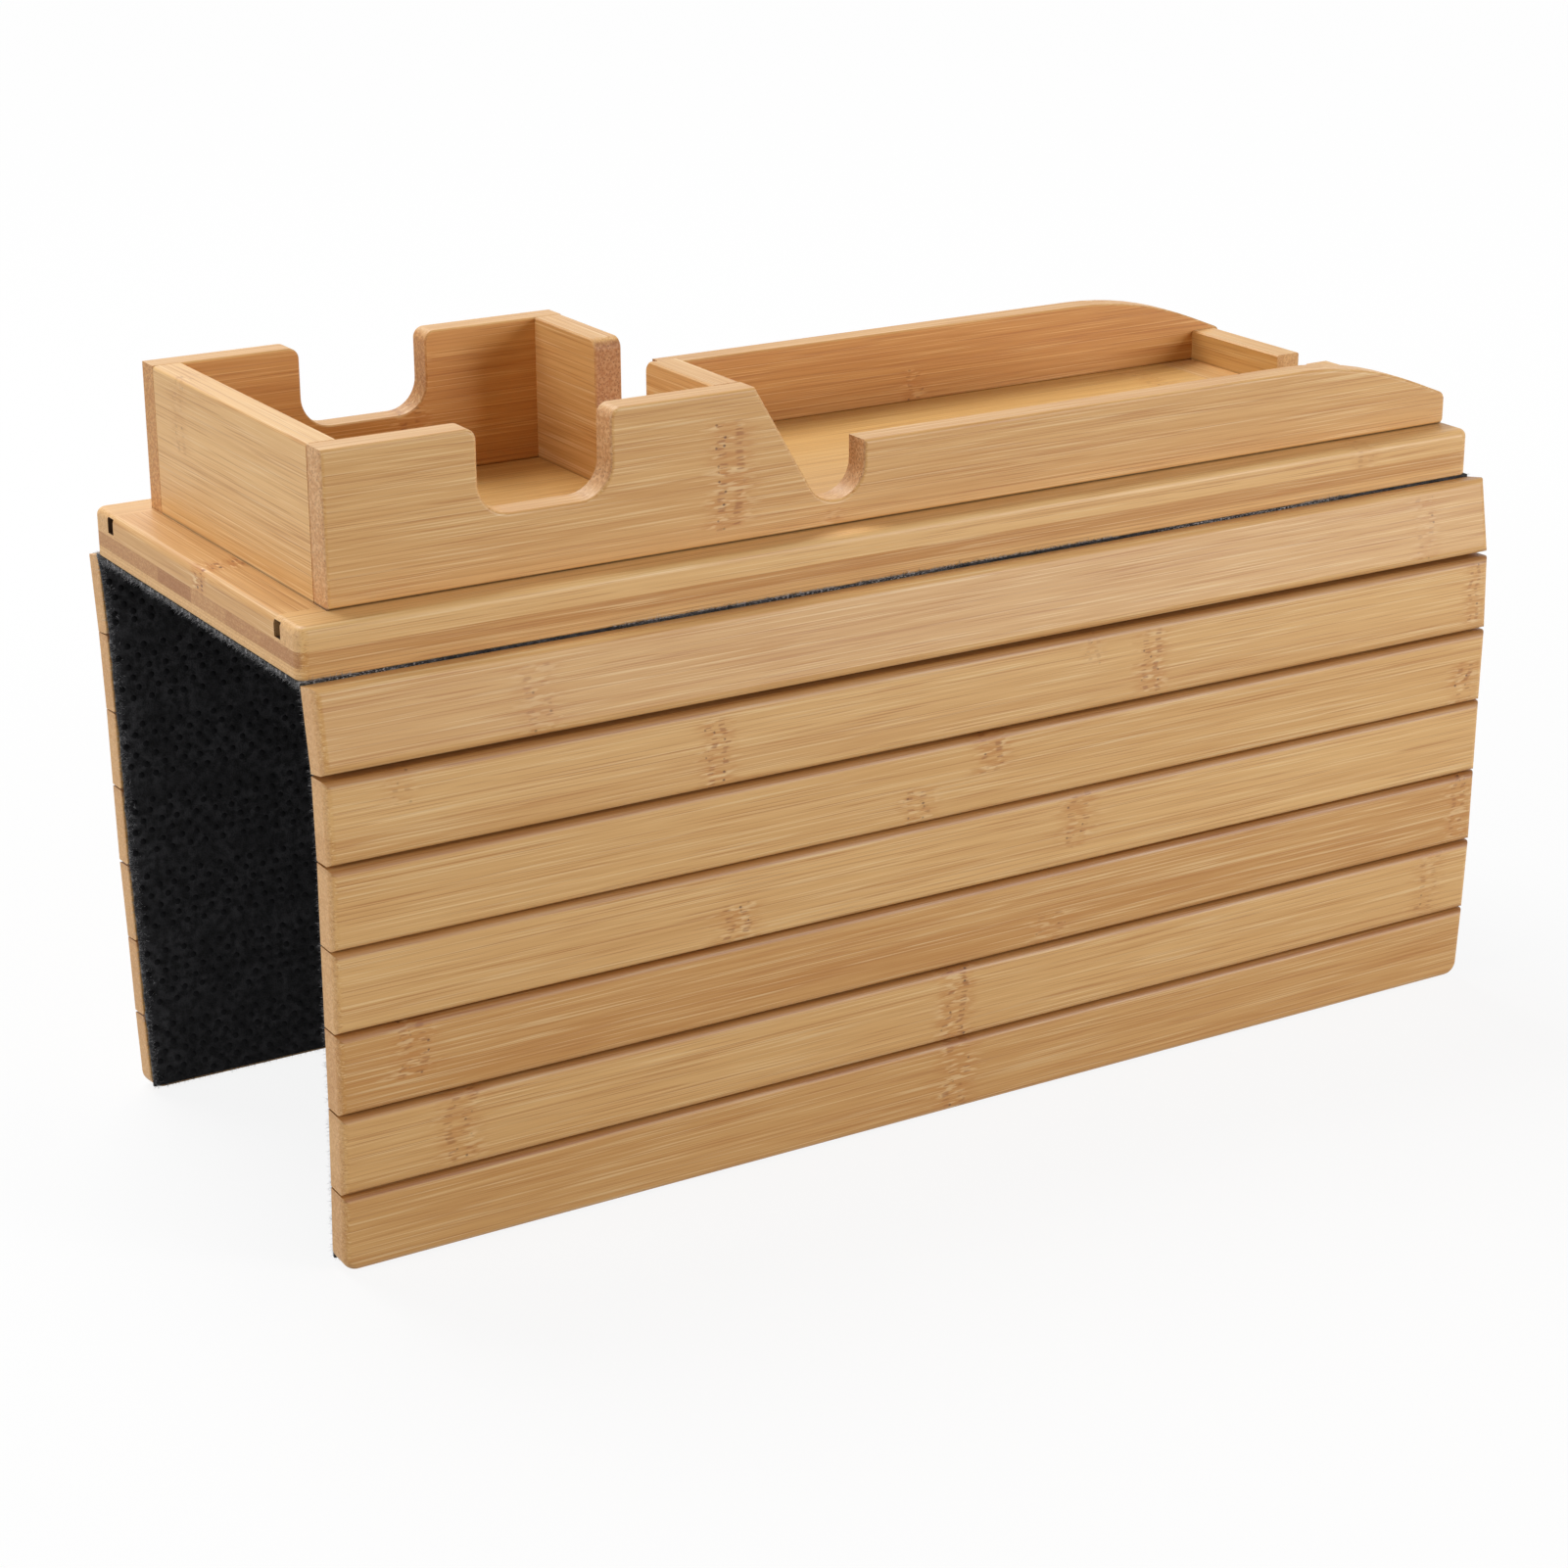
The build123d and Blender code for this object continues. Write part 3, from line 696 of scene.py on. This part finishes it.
def strand_mesh(radius, length):
    """One tapered fibre along +Z, bent a little at its middle."""
    bm = bmesh.new()
    bmesh.ops.create_cone(
        bm, segments=3, radius1=radius, radius2=radius * 0.7, depth=length / 2, cap_ends=False
    )
    bmesh.ops.translate(bm, vec=(0, 0, length / 4), verts=bm.verts)
    rim = [edge for edge in bm.edges if all(vert.co.z > length / 4 for vert in edge.verts)]
    grown = bmesh.ops.extrude_edge_only(bm, edges=rim)["geom"]
    tips = [item for item in grown if isinstance(item, bmesh.types.BMVert)]
    bmesh.ops.translate(bm, vec=(length * 0.12, 0, length / 2), verts=tips)
    bmesh.ops.pointmerge(bm, verts=tips, merge_co=sum((vert.co for vert in tips), Vector()) / len(tips))
    mesh = bpy.data.meshes.new("strand")
    bm.to_mesh(mesh)
    bm.free()
    return mesh


def scattered(name, template, places, material):
    """One mesh of copies of template, each at its (matrix, run) with its place on the cut sheet."""
    bm = bmesh.new()
    run = bm.verts.layers.float.new("run")
    mesh = template.copy()
    for matrix, place in places:
        mesh.transform(matrix)
        first = len(bm.verts)
        bm.from_mesh(mesh)
        mesh.transform(matrix.inverted())
        bm.verts.ensure_lookup_table()
        for vert in bm.verts[first:]:
            vert[run] = place
    lay_cut_map(bm, lambda vert: vert[run])
    bpy.data.meshes.remove(mesh)
    made = felt_object(name, bm, material)
    for polygon in made.data.polygons:
        polygon.use_smooth = True
    return made


class Profile:
    """The felt's outer face across the tray, as straight runs, with the side its thickness is on."""

    def __init__(self, line, thickness):
        self.line = line
        self.thickness = thickness

    def at(self, number, distance, depth):
        """The point at a distance along run number, and depth in from the outer face."""
        start, end = self.line[number], self.line[number + 1]
        along = (end - start).normalized()
        inward = self.inward(number)
        return start + along * distance + inward * depth

    def inward(self, number):
        """Towards the arm."""
        start, end = self.line[number], self.line[number + 1]
        along = (end - start).normalized()
        inward = Vector((along.y, -along.x))
        middle = (start + end) / 2
        towards = Vector((0, -0.06)) - middle
        return inward if inward.dot(towards) > 0 else -inward


def dot_places(profile, shares, run_start, settings):
    """Staggered rows of dots on the inner face; shares gives each run's (from, to) in metres."""
    rows_of = settings.dot_pitch / 2
    places, total = [], run_start
    for number, (start, end) in enumerate(zip(profile.line, profile.line[1:])):
        gap = (end - start).length
        inward = profile.inward(number)
        margin = shares[number]
        rows = max(1, round((gap - margin[0] - margin[1]) / rows_of))
        for row in range(rows):
            distance = margin[0] + (gap - margin[0] - margin[1]) * (row + 0.5) / rows
            index = round((total + distance) / rows_of)
            centre = profile.at(number, distance, settings.felt_thickness)
            draw = random.Random(index * 13 + 5)
            across = settings.felt_length / 2 - settings.dot_pitch * (0.5 if index % 2 else 1.0)
            x = -across
            while x <= across + 1e-6:
                spot = Vector((x + draw.uniform(-0.7, 0.7) * MM, *centre))
                normal = Vector((0, *inward))
                turn = normal.to_track_quat("Z", "X").to_matrix().to_4x4()
                places.append((Matrix.Translation(spot) @ turn, total + distance))
                x += settings.dot_pitch
        total += gap
    return places


def fuzz_places(profile, run_start, settings, seed, open_end):
    """Fibres along the two cut ends of the strip, and along its lower edge where it has one."""
    draw = random.Random(seed)
    places, total = [], run_start
    half = settings.felt_length / 2
    count = settings.fuzz_per_mm / MM
    for number, (start, end) in enumerate(zip(profile.line, profile.line[1:])):
        gap = (end - start).length
        inward = profile.inward(number)
        for side in (-1, 1):
            for _ in range(round(gap * count)):
                distance = draw.uniform(0, gap)
                inset = abs(draw.gauss(0, 0.8)) * MM
                run = total + distance
                depth = settings.felt_thickness * edge_share(inset, settings)
                if inset < settings.fuzz_length / 4:
                    depth *= draw.uniform(0.05, 1.0)
                point = profile.at(number, distance, depth)
                swing = Vector((draw.gauss(0, 1), *(inward * abs(draw.gauss(0, 0.35)))))
                lean = Vector((side * 0.6, draw.gauss(0, 0.5), draw.gauss(0, 0.5))) + swing
                root = Vector((side * (half - drawn_in(run, settings) - inset), *point))
                places.append(fibre_place(root, lean, draw, run))
        total += gap
    if open_end:
        last = len(profile.line) - 2
        gap = (profile.line[-1] - profile.line[-2]).length
        along = (profile.line[-1] - profile.line[-2]).normalized()
        for _ in range(round(settings.felt_length * count * 0.6)):
            depth = settings.felt_thickness * draw.uniform(0.05, 1.0)
            point = profile.at(last, gap - 0.3 * MM, depth * settings.edge_share)
            lean = Vector((draw.gauss(0, 0.45), *along)) + Vector((0, draw.gauss(0, 0.3), 0))
            reach = half - settings.draw_in
            places.append(fibre_place(Vector((draw.uniform(-reach, reach), *point)), lean, draw, total))
    return places


def fold_fuzz_places(profile, run, settings, seed):
    """Pale fibres that show in patches in the gap between the board and the first slat."""
    draw = random.Random(seed)
    half = settings.felt_length / 2
    outward = -profile.inward(1)
    places = []
    for _ in range(round(settings.felt_length / MM * settings.fold_fuzz_per_mm)):
        x = draw.uniform(-half, half)
        if math.sin(x * 61) + math.sin(x * 23 + 1.7) > -0.1:
            root = Vector((x, *(profile.line[1] + outward * draw.uniform(0, 0.5) * MM)))
            lean = Vector((draw.gauss(0, 1.2), *(outward * abs(draw.gauss(0, 0.3))))) + Vector((0, 0, 0.25))
            places.append(fibre_place(root, lean, draw, run))
    return places


def fibre_place(root, lean, draw, run):
    """Where one fibre stands: its root, its lean, a random turn and a random length."""
    turn = lean.to_track_quat("Z", "X").to_matrix().to_4x4()
    spin = Matrix.Rotation(draw.uniform(0, 2 * math.pi), 4, "Z")
    size = draw.uniform(0.4, 1.3)
    return Matrix.Translation(root) @ turn @ spin @ Matrix.Scale(size, 4), run


# ---------------------------------------------------------------- settings


def colour_value(name, description, value):
    """A colour a user may change."""
    return bpy.props.FloatVectorProperty(
        name=name, description=description, subtype="COLOR", size=4, min=0, max=1, default=(*value, 1)
    )


def length_value(name, description, millimetres):
    """A length a user may change."""
    return bpy.props.FloatProperty(
        name=name, description=description, unit="LENGTH", min=0, precision=5, default=millimetres * MM
    )


class BambooSettings(bpy.types.PropertyGroup):
    """Colours of the lacquered bamboo, and of the shade painted on it."""

    pale: colour_value("Pale", "Palest wood between the fibres", (0.800, 0.488, 0.192))
    caramel: colour_value("Caramel", "Browner wood", (0.540, 0.248, 0.060))
    cream: colour_value("Cream Fibres", "Pale hairlines", (0.900, 0.650, 0.340))
    fibre: colour_value("Dark Fibres", "Dark hairlines", (0.460, 0.185, 0.042))
    cut: colour_value("End Grain", "Wood cut across its fibres", (0.580, 0.290, 0.120))
    cut_pale: colour_value("Pale End Grain", "Paler places of the cut wood", (0.760, 0.470, 0.240))
    speckle: colour_value("End Grain Bundles", "Fibre bundles cut across", (0.300, 0.115, 0.040))
    ring: colour_value("Growth Rings", "Brown of the growth rings", (0.540, 0.225, 0.050))
    dash: colour_value("Dashes", "Short dashes in the growth rings", (0.340, 0.115, 0.024))
    pit: colour_value("Pits", "Pits in the growth rings", (0.085, 0.029, 0.008))
    # Painted shadow colour, used under the frame's pieces and inside the open grooves
    painted_shadow_colour: colour_value("Seam", "Shadow line under the frame's pieces", (0.035, 0.013, 0.005))
    core_shade: colour_value("Core", "Tint of the brown core strips", (0.680, 0.560, 0.460))
    # Painted shade on the slats' top edges in the gaps
    painted_gap_shade: colour_value("Gap", "Tint of the slats' edges in the gaps", (0.560, 0.430, 0.320))


class FeltSettings(bpy.types.PropertyGroup):
    """Sizes and colours of the felt, its dots and its fuzz."""

    felt_length: length_value("Length", "Along the tray", 360.2)
    felt_thickness: length_value("Thickness", "Of the felt", 2.0)
    edge_width: length_value("Edge Width", "Where the felt thins towards a cut edge", 2.6)
    edge_share: bpy.props.FloatProperty(
        name="Edge Share", description="Thickness left at a cut edge", min=0, max=1, default=0.4
    )
    draw_in: length_value("Draw In", "Felt's ends behind the slats' ends", 0.8)
    draw_run: length_value("Draw Run", "Past the first fold, where it is drawn in", 8.0)
    felt_cell: length_value("Cell", "Grid of the sheet's mesh", 2.6)
    lump_height: length_value("Lumps", "How uneven the inner face is", 0.12)
    dot_pitch: length_value("Dot Pitch", "Between dots in a row", 5.0)
    dot_radius: length_value("Dot Radius", "Of one rubber dot", 0.9)
    dot_height: length_value("Dot Height", "Of one rubber dot", 0.2)
    fuzz_length: length_value("Fuzz Length", "Of a loose fibre", 1.5)
    fuzz_radius: length_value("Fuzz Radius", "Of a loose fibre", 0.035)
    fuzz_per_mm: bpy.props.FloatProperty(
        name="Fuzz Count", description="Loose fibres in each millimetre of edge", default=12.0
    )
    fold_fuzz_per_mm: bpy.props.FloatProperty(
        name="Fold Fuzz Count", description="Loose fibres in each millimetre of first fold", default=14.0
    )
    felt_dark: colour_value("Felt", "Dark of the felt", (0.0165, 0.0162, 0.0175))
    felt_light: colour_value("Felt Light", "Matted lighter places", (0.0630, 0.0622, 0.0665))
    felt_fibre: colour_value("Felt Fibres", "Single pale fibres", (0.112, 0.111, 0.117))
    loose_fibre: colour_value("Loose Fibres", "Pale fuzz along the edges", (0.58, 0.58, 0.59))
    felt_cut: colour_value("Cut Edge", "Felt where it is cut", (0.040, 0.040, 0.042))
    dot_colour: colour_value("Dots", "Rubber of the dots", (0.0065, 0.0065, 0.0074))


class StageSettings(bpy.types.PropertyGroup):
    """Lamps and room round the tray."""

    top_power: bpy.props.FloatProperty(
        name="Top Lamp", description="Power of the lamp above and behind", unit="POWER", default=18.5
    )
    left_power: bpy.props.FloatProperty(
        name="Left Lamp", description="Power of the low lamp at the mug bay's end", unit="POWER", default=9.0
    )
    front_power: bpy.props.FloatProperty(
        name="Front Lamp", description="Power of the low lamp at the front", unit="POWER", default=19.5
    )
    room_level: bpy.props.FloatProperty(
        name="Room", description="Light from all round", min=0, default=0.17
    )
    floor_gap: length_value("Floor Gap", "Below the lowest slat", 0.4)


# ---------------------------------------------------------------- operators


class TRAY_OT_bamboo(bpy.types.Operator):
    """Gives every bamboo piece its own grain, tone and growth rings"""

    bl_idname = "sofa_arm_tray.bamboo"
    bl_label = "Finish Bamboo"

    def execute(self, context):
        settings = context.scene.tray_bamboo
        names = ("pale", "caramel", "cream", "fibre", "cut", "cut_pale", "speckle", "ring", "dash", "pit")
        colours = {name: getattr(settings, name) for name in names}
        groups = {"ring": ring_mark_group(), "bamboo": bamboo_group(colours)}
        looks = dict(PIECES)
        for number in range(CORE_COUNT):
            looks[f"board_core_{number + 1}"] = CORE_LOOK
        for seed, (piece, look) in enumerate(looks.items(), start=1):
            material = bamboo_material(piece, seed, look, groups, settings)
            mesh = frame["nodes"][piece].data
            mesh.materials.clear()
            mesh.materials.append(material)
        return {"FINISHED"}


class TRAY_OT_screws(bpy.types.Operator):
    """Gives the screws their plated steel"""

    bl_idname = "sofa_arm_tray.screws"
    bl_label = "Finish Screws"

    def execute(self, context):
        mesh = frame["nodes"]["frame_screws"].data
        mesh.materials.clear()
        mesh.materials.append(steel_material())
        return {"FINISHED"}


class TRAY_OT_felt(bpy.types.Operator):
    """Lays the felt in strips that bend at the fold lines, with its dots and its fuzz"""

    bl_idname = "sofa_arm_tray.felt"
    bl_label = "Lay Felt"

    def execute(self, context):
        settings = context.scene.tray_felt
        looks = {
            "felt": felt_material(settings),
            "dots": dot_material(settings),
            "fuzz": fuzz_material(settings),
        }
        parts = {
            "dome": dome_mesh(settings.dot_radius, settings.dot_height),
            "strand": strand_mesh(settings.fuzz_radius, settings.fuzz_length),
        }
        seam = BOARD_SEAM * MM
        top = settings.felt_thickness
        middle = [Vector((-seam, top)), Vector((seam, top))]
        self.lay("board_felt_sheet", middle, -seam, ("tray",), None, ["board_felt"],
                 ["board_bottom_ply"], looks, parts, settings, 1, False)
        for flap, side in (("front", -1), ("back", 1)):
            folds = fold_points(flap)
            middles = [Vector((side * seam, top))]
            middles += [(folds[n] + folds[n + 1]) / 2 for n in range(SLAT_COUNT - 1)]
            middles.append(folds[-1])
            run = seam
            for number in range(SLAT_COUNT):
                line = [middles[number], folds[number], middles[number + 1]]
                last = number == SLAT_COUNT - 1
                above = "tray" if number == 0 else f"{flap}_flap_{number}"
                below = f"{flap}_flap_{number + 1}"
                carries = f"{flap}_slat_{number}" if number else "board_bottom_ply"
                self.lay(f"{flap}_felt_sheet_{number + 1}", line, run, (above, below), folds[number],
                         [f"{flap}_felt_{number + 1}"], [carries, f"{flap}_slat_{number + 1}"],
                         looks, parts, settings, side * (number + 2), last)
                run += sum((b - a).length for a, b in zip(line, line[1:]))
        for mesh in parts.values():
            bpy.data.meshes.remove(mesh)
        return {"FINISHED"}

    def lay(self, name, line, run, bodies, fold, nodes, rests_on, looks, parts, settings, seed, last):
        """One strip with its dots and fuzz, moving with its body or bent between two."""
        profile = Profile(line, settings.felt_thickness)
        piece = strip_sheet(name, line, run, settings, looks["felt"], seed, last)
        normal = piece.data.polygons[0].normal
        inward = Vector((0, *profile.inward(0)))
        finish_sheet(piece, settings, normal.dot(inward) > 0)
        margins = [(0.0, 0.0)] if fold is None else [(0.0, 0.0022), (0.0022, 0.0 if not last else 0.001)]
        dots = scattered(name + "_dots", parts["dome"], dot_places(profile, margins, run, settings), looks["dots"])
        fibres = fuzz_places(profile, run, settings, seed, last)
        if bodies[0] == "tray" and fold is not None:
            fibres += fold_fuzz_places(profile, FIRST_FOLD * MM, settings, seed)
        fuzz = scattered(name + "_fuzz", parts["strand"], fibres, looks["fuzz"])
        for made in (piece, dots, fuzz):
            if fold is None:
                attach(made, bodies[0])
            else:
                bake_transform(made)
        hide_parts(*nodes)


class TRAY_OT_stage(bpy.types.Operator):
    """Sets the floor, the lamps, the room and the camera"""

    bl_idname = "sofa_arm_tray.stage"
    bl_label = "Set Stage"

    def execute(self, context):
        settings = context.scene.tray_stage
        self.camera(context.scene)
        self.floor(context.scene, CAD_BOX[0][2] - settings.floor_gap)
        self.lamp(context.scene, "top lamp", (-0.1, 0.8, 1.25), 1.0, settings.top_power)
        self.lamp(context.scene, "left lamp", (-1.5, -0.1, 0.35), 0.8, settings.left_power)
        self.lamp(context.scene, "front lamp", (1.05, -1.5, 0.385), 0.8, settings.front_power)
        self.room(context.scene, settings.room_level)
        context.scene.view_settings.view_transform = "Standard"
        return {"FINISHED"}

    def camera(self, scene):
        """The photograph's view."""
        data = bpy.data.cameras.new("camera")
        data.lens, data.sensor_width = 80.03, 36.0
        data.clip_start, data.clip_end = 0.05, 50.0
        camera = bpy.data.objects.new("camera", data)
        scene.collection.objects.link(camera)
        turn = Matrix.Rotation(-0.5481, 4, "Z") @ Matrix.Rotation(math.pi / 2 - 0.3446, 4, "X")
        turn = turn @ Matrix.Rotation(-0.0037, 4, "Z")
        camera.matrix_world = Matrix.Translation((-0.4865, -0.7838, 0.2541)) @ turn
        scene.camera = camera

    def floor(self, scene, level):
        """A pale floor that keeps a faint shadow and meets the white room."""
        bm = bmesh.new()
        bmesh.ops.create_grid(bm, x_segments=1, y_segments=1, size=12)
        bmesh.ops.translate(bm, vec=(0, 0, level), verts=bm.verts)
        mesh = bpy.data.meshes.new("floor")
        bm.to_mesh(mesh)
        bm.free()
        floor = bpy.data.objects.new("floor", mesh)
        scene.collection.objects.link(floor)
        material, tree, shader = new_material("pale_floor")
        place = tree.nodes.new("ShaderNodeTexCoord").outputs["Object"]
        paper = noise(tree, place, (3, 3, 3), detail=1.0)
        ray = tree.nodes.new("ShaderNodeLightPath").outputs
        seen = calc(tree, "MAXIMUM", ray["Is Camera Ray"],
                    calc(tree, "MAXIMUM", ray["Is Glossy Ray"], ray["Is Transmission Ray"]))
        grey = mixed(tree, paper, (0.40, 0.40, 0.40, 1), (0.42, 0.42, 0.42, 1))
        pale = mixed(tree, seen, grey, (0.90, 0.90, 0.90, 1))
        tree.links.new(pale, shader.inputs["Base Color"])
        shader.inputs["Roughness"].default_value = 0.9
        white = node(tree, "Emission", {"Color": (1, 1, 1, 1), "Strength": 1.0})[0]
        away = node(tree, "VectorMath", {0: place}, operation="LENGTH")["Value"]
        share = calc(tree, "MULTIPLY", seen, clamped(tree, away, 0.2, 0.8, 0.88, 0.985))
        both = node(tree, "MixShader", {0: share, 1: shader.outputs[0], 2: white})[0]
        tree.links.new(both, tree.nodes["Material Output"].inputs["Surface"])
        mesh.materials.append(material)

    def lamp(self, scene, name, place, size, power):
        """A large soft lamp turned to the tray."""
        data = bpy.data.lights.new(name, "AREA")
        data.shape, data.size, data.energy = "DISK", size, power
        lamp = bpy.data.objects.new(name, data)
        scene.collection.objects.link(lamp)
        aim = Vector((0, 0, -0.03)) - Vector(place)
        lamp.matrix_world = Matrix.Translation(place) @ aim.to_track_quat("-Z", "Y").to_matrix().to_4x4()

    def room(self, scene, level):
        """Even light from all round, and white where the camera looks past the tray."""
        world = bpy.data.worlds.new("room")
        scene.world = world
        world.use_nodes = True
        tree = world.node_tree
        tree.nodes.clear()
        ray = tree.nodes.new("ShaderNodeLightPath").outputs
        seen = calc(tree, "MAXIMUM", ray["Is Camera Ray"],
                    calc(tree, "MAXIMUM", ray["Is Glossy Ray"], ray["Is Transmission Ray"]))
        plain = node(tree, "Background", {"Color": (1, 1, 1, 1), "Strength": level})[0]
        white = node(tree, "Background", {"Color": (1, 1, 1, 1), "Strength": 1.0})[0]
        both = node(tree, "MixShader", {0: seen, 1: plain, 2: white})[0]
        output = tree.nodes.new("ShaderNodeOutputWorld")
        tree.links.new(both, output.inputs["Surface"])


class TRAY_PT_panel(bpy.types.Panel):
    """The tray's steps and settings in the sidebar"""

    bl_idname = "TRAY_PT_panel"
    bl_label = "Sofa Arm Tray"
    bl_space_type = "VIEW_3D"
    bl_region_type = "UI"
    bl_category = "Sofa Arm Tray"

    def draw(self, context):
        for operator in OPERATORS:
            self.layout.operator(operator.bl_idname)
        for group in (context.scene.tray_bamboo, context.scene.tray_felt, context.scene.tray_stage):
            box = self.layout.box()
            for name in group.bl_rna.properties.keys():
                if name not in ("rna_type", "name"):
                    box.prop(group, name)


OPERATORS = (TRAY_OT_bamboo, TRAY_OT_screws, TRAY_OT_felt, TRAY_OT_stage)
CLASSES = (BambooSettings, FeltSettings, StageSettings, *OPERATORS, TRAY_PT_panel)


def register():
    for cls in CLASSES:
        bpy.utils.register_class(cls)
    bpy.types.Scene.tray_bamboo = bpy.props.PointerProperty(type=BambooSettings)
    bpy.types.Scene.tray_felt = bpy.props.PointerProperty(type=FeltSettings)
    bpy.types.Scene.tray_stage = bpy.props.PointerProperty(type=StageSettings)


def unregister():
    for name in ("tray_bamboo", "tray_felt", "tray_stage"):
        delattr(bpy.types.Scene, name)
    for cls in reversed(CLASSES):
        bpy.utils.unregister_class(cls)


def main():
    register()
    bpy.ops.sofa_arm_tray.bamboo()
    bpy.ops.sofa_arm_tray.screws()
    bpy.ops.sofa_arm_tray.felt()
    bpy.ops.sofa_arm_tray.stage()


if __name__ == "__main__":
    main()
